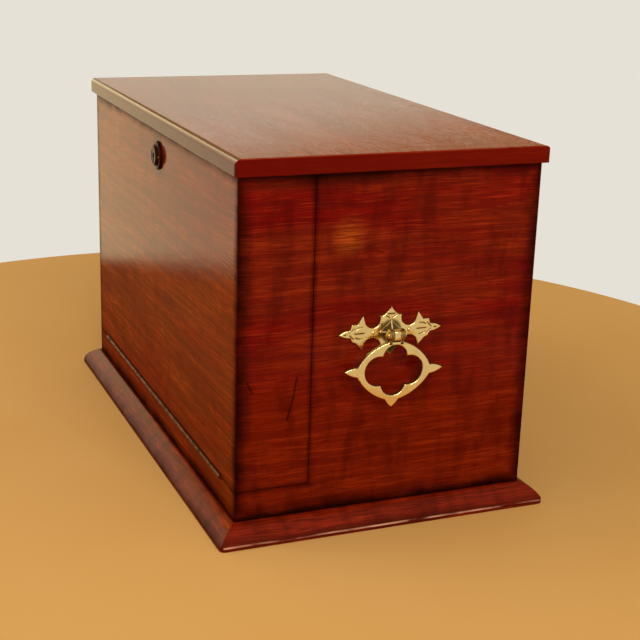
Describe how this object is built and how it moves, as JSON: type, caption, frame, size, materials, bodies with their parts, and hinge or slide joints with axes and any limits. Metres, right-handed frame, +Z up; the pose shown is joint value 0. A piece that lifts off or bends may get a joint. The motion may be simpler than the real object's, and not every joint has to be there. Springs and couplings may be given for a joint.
{
  "type": "writing slope",
  "caption": "Square-sided wooden writing box with a level hinged lid, a fall front that opens into a leather writing slope, a letter rack, inkwells and drop end handles.",
  "frame": {"origin": "on the table plane, under the middle of the box", "axes": "+Z up, +X along the width towards the right-hand end, the fall front faces -Y"},
  "size_m": [0.4194, 0.2516, 0.2671],
  "materials": {
    "mahogany": "French polished",
    "inner_mahogany": "waxed",
    "polished_brass": "cast, polished",
    "dark_brass": "dark patina",
    "brass": "rolled, worn",
    "steel": "filed",
    "leather": "skiver",
    "glass": "cut"
  },
  "bodies": {
    "carcass": {"right_side_board": "mahogany", "left_side_board": "mahogany", "back_board": "mahogany", "front_rail": "mahogany", "base_board": "inner_mahogany", "plinth_front": "mahogany", "plinth_back": "mahogany", "right_plinth": "mahogany", "left_plinth": "mahogany", "lid_hinge_lower_leaves": "brass", "lid_hinge_pins": "brass", "lid_hinge_lower_screws": "brass", "fall_hinge_lower_leaf": "brass", "fall_hinge_pin": "brass", "fall_hinge_lower_screws": "brass", "right_handle_plate": "polished_brass", "left_handle_plate": "polished_brass", "right_handle_stud": "polished_brass", "left_handle_stud": "polished_brass", "handle_pins": "polished_brass", "handle_nuts": "brass", "handle_brads": "polished_brass", "pen_tray": "inner_mahogany", "ink_wall": "inner_mahogany", "ink_partitions": "inner_mahogany", "rack_dividers": "inner_mahogany", "rack_partition": "inner_mahogany", "inkwell_glasses": "glass", "inkwell_collars": "brass", "inkwell_cap_pins": "brass"},
    "lid": {"lid_board": "mahogany", "link_plate": "brass", "lid_hinge_upper_leaves": "brass", "lid_screws": "brass"},
    "fall_front": {"fall_panel": "mahogany", "right_fall_wing": "mahogany", "left_fall_wing": "mahogany", "fall_bottom_rail": "inner_mahogany", "fall_top_rail": "inner_mahogany", "fall_battens": "inner_mahogany", "writing_board_fixed": "inner_mahogany", "writing_leather_fixed": "leather", "fall_hinge_upper_leaf": "brass", "fall_screws": "brass", "flap_hinge_lower_leaves": "brass", "flap_hinge_pins": "brass", "lock_case": "brass", "escutcheon": "dark_brass", "escutcheon_brads": "dark_brass"},
    "writing_flap": {"flap_board": "inner_mahogany", "flap_leather": "leather", "flap_pull_tab": "leather", "flap_hinge_upper_leaves": "brass", "flap_screws": "brass"},
    "lock_bolt": {"lock_bolt": "steel"},
    "right_drop": {"right_handle_drop": "polished_brass"},
    "left_drop": {"left_handle_drop": "polished_brass"},
    "right_cap": {"right_inkwell_cap": "brass"},
    "left_cap": {"left_inkwell_cap": "brass"}
  },
  "joints": [
    {"name": "lid_hinge", "type": "hinge", "parent": "carcass", "child": "lid", "pos_m": [0, 0.113, 0.255], "axis": [-1, 0, 0], "range_deg": [0, 100]},
    {"name": "fall_hinge", "type": "hinge", "parent": "carcass", "child": "fall_front", "pos_m": [0, -0.112, 0.036], "axis": [1, 0, 0], "range_deg": [0, 98]},
    {"name": "flap_hinge", "type": "hinge", "parent": "fall_front", "child": "writing_flap", "pos_m": [0, -0.0578, 0.149], "axis": [-1, 0, 0], "range_deg": [0, 90]},
    {"name": "bolt_slide", "type": "slide", "parent": "fall_front", "child": "lock_bolt", "axis": [1, 0, 0], "range_m": [0, 0.0055]},
    {"name": "right_drop_hinge", "type": "hinge", "parent": "carcass", "child": "right_drop", "pos_m": [0.2055, 0, 0.1425], "axis": [0, -1, 0], "range_deg": [-6, 150]},
    {"name": "left_drop_hinge", "type": "hinge", "parent": "carcass", "child": "left_drop", "pos_m": [-0.2055, 0, 0.1425], "axis": [0, 1, 0], "range_deg": [-6, 150]},
    {"name": "right_cap_hinge", "type": "hinge", "parent": "carcass", "child": "right_cap", "pos_m": [0.15625, -0.0113, 0.0524], "axis": [-1, 0, 0], "range_deg": [0, 90]},
    {"name": "left_cap_hinge", "type": "hinge", "parent": "carcass", "child": "left_cap", "pos_m": [-0.15625, -0.0113, 0.0524], "axis": [-1, 0, 0], "range_deg": [0, 90]}
  ],
  "couplings": [
    {"joint": "fall_hinge", "follows": "lid_hinge", "ratio": 0.98}
  ]
}
